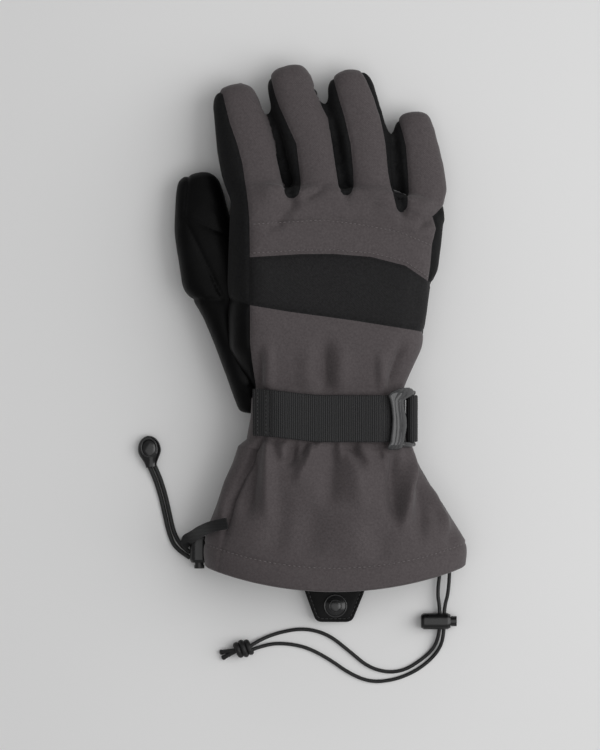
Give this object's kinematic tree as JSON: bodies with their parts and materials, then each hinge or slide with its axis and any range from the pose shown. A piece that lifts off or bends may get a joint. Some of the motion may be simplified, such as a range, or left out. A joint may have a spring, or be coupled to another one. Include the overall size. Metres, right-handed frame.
{
  "type": "gauntlet ski glove",
  "caption": "Insulated right-hand ski glove with flared gauntlet, buckled wrist strap, hem drawcord with cord lock, wrist leash and snap tab.",
  "frame": {"origin": "middle of the footprint without the free cords, on the plane the glove lies on", "axes": "+X towards the little-finger side, +Y towards the fingertips, +Z out of the back of the hand"},
  "size_m": [0.1795, 0.3402, 0.0518],
  "materials": {
    "softshell": "matt woven softshell, taupe",
    "black_softshell": "matt",
    "palm_leather": "soft sheen",
    "insulation": "lofted",
    "membrane": "film",
    "lining": "brushed",
    "webbing": "ribbed",
    "elastic": "ribbed",
    "buckle": "glossy",
    "hardware": "satin",
    "snap": "gloss black",
    "spring": "plain",
    "cord": "braided",
    "pull": "satin"
  },
  "bodies": {
    "gauntlet": {"cuff_back_panel": "softshell", "cuff_palm_panel": "black_softshell", "cuff_side_panel": "softshell", "cuff_lining": "lining", "hem_facing": "softshell", "hem_cord_loop": "cord", "strap_run": "webbing", "strap_tail": "webbing", "wrist_elastic": "elastic", "strap_anchor_loop": "webbing", "leash_lock_body": "hardware", "leash_lock_spring": "spring", "leash_tape": "elastic", "leash_cord_inner": "cord", "leash_cord_outer": "cord", "leash_pull": "pull", "hem_cord_left": "cord", "hem_cord_right": "cord", "hem_cord_knot": "cord"},
    "hand": {"knuckle_panel": "softshell", "crest_panel": "softshell", "back_band": "black_softshell", "wrist_back_panel": "softshell", "palm_panel": "palm_leather", "outer_side_panel": "black_softshell", "index_side_panel": "black_softshell", "wrist_side_panel": "black_softshell", "hand_insulation": "insulation", "hand_membrane": "membrane", "hand_lining": "lining", "palm_patch": "palm_leather", "thumb_gusset": "black_softshell"},
    "thumb": {"thumb_back": "black_softshell", "thumb_palm": "palm_leather", "thumb_liner": "insulation"},
    "buckle": {"buckle_frame": "buckle", "strap_bight": "webbing"},
    "tab": {"snap_tab": "palm_leather", "snap_cap": "snap", "snap_socket": "snap"},
    "hem_lock": {"hem_lock_body": "hardware", "hem_lock_spring": "spring"},
    "hem_plunger": {"hem_lock_plunger": "hardware"},
    "leash_plunger": {"leash_lock_plunger": "hardware"},
    "index": {"index_back": "softshell", "index_palm": "palm_leather", "index_fourchettes": "black_softshell", "index_liner": "insulation"},
    "middle": {"middle_back": "softshell", "middle_palm": "palm_leather", "middle_fourchettes": "black_softshell", "middle_liner": "insulation"},
    "ring": {"ring_back": "softshell", "ring_palm": "palm_leather", "ring_fourchettes": "black_softshell", "ring_liner": "insulation"},
    "little": {"little_back": "softshell", "little_palm": "palm_leather", "little_fourchettes": "black_softshell", "little_liner": "insulation"}
  },
  "joints": [
    {"name": "wrist_flex", "type": "hinge", "parent": "gauntlet", "child": "hand", "pos_m": [0.0048, -0.0265, 0.022], "axis": [1, 0, 0], "range_deg": [-8, 8]},
    {"name": "index_flex", "type": "hinge", "parent": "hand", "child": "index", "pos_m": [-0.0335, 0.082, 0.0192], "axis": [-0.9638, -0.1528, 0.2186], "range_deg": [-8, 60]},
    {"name": "middle_flex", "type": "hinge", "parent": "hand", "child": "middle", "pos_m": [-0.0015, 0.0835, 0.0146], "axis": [-0.9493, -0.2375, 0.2057], "range_deg": [-8, 60]},
    {"name": "ring_flex", "type": "hinge", "parent": "hand", "child": "ring", "pos_m": [0.0277, 0.0835, 0.0104], "axis": [-0.9654, -0.1786, 0.1899], "range_deg": [-8, 60]},
    {"name": "little_flex", "type": "hinge", "parent": "hand", "child": "little", "pos_m": [0.0558, 0.0747, 0.006], "axis": [-0.9791, -0.1302, 0.1562], "range_deg": [-8, 60]},
    {"name": "thumb_swing", "type": "hinge", "parent": "hand", "child": "thumb", "pos_m": [-0.07273, 0.0277, 0.0143], "axis": [0, 0, 1], "range_deg": [0, 35]},
    {"name": "buckle_tilt", "type": "hinge", "parent": "gauntlet", "child": "buckle", "pos_m": [0.0501, -0.04025, 0.03247], "axis": [0, 1, 0], "range_deg": [0, 40]},
    {"name": "tab_fold", "type": "hinge", "parent": "gauntlet", "child": "tab", "pos_m": [0.00835, -0.121, 0.0056], "axis": [-1, 0, 0], "range_deg": [0, 80]},
    {"name": "hem_lock_slide", "type": "slide", "parent": "gauntlet", "child": "hem_lock", "axis": [0, 1, 0], "range_m": [0, 0.005], "deforming": ["hem_cord_left", "hem_cord_right"]},
    {"name": "hem_plunger_press", "type": "slide", "parent": "hem_lock", "child": "hem_plunger", "axis": [-1, 0, 0], "range_m": [0, 0.0024], "stiffness_N_per_m": 400, "springref_m": -0.0015, "deforming": ["hem_lock_spring"]},
    {"name": "leash_plunger_press", "type": "slide", "parent": "gauntlet", "child": "leash_plunger", "axis": [0, 1, 0], "range_m": [0, 0.0024], "stiffness_N_per_m": 400, "springref_m": -0.0015, "deforming": ["leash_lock_spring"]}
  ]
}
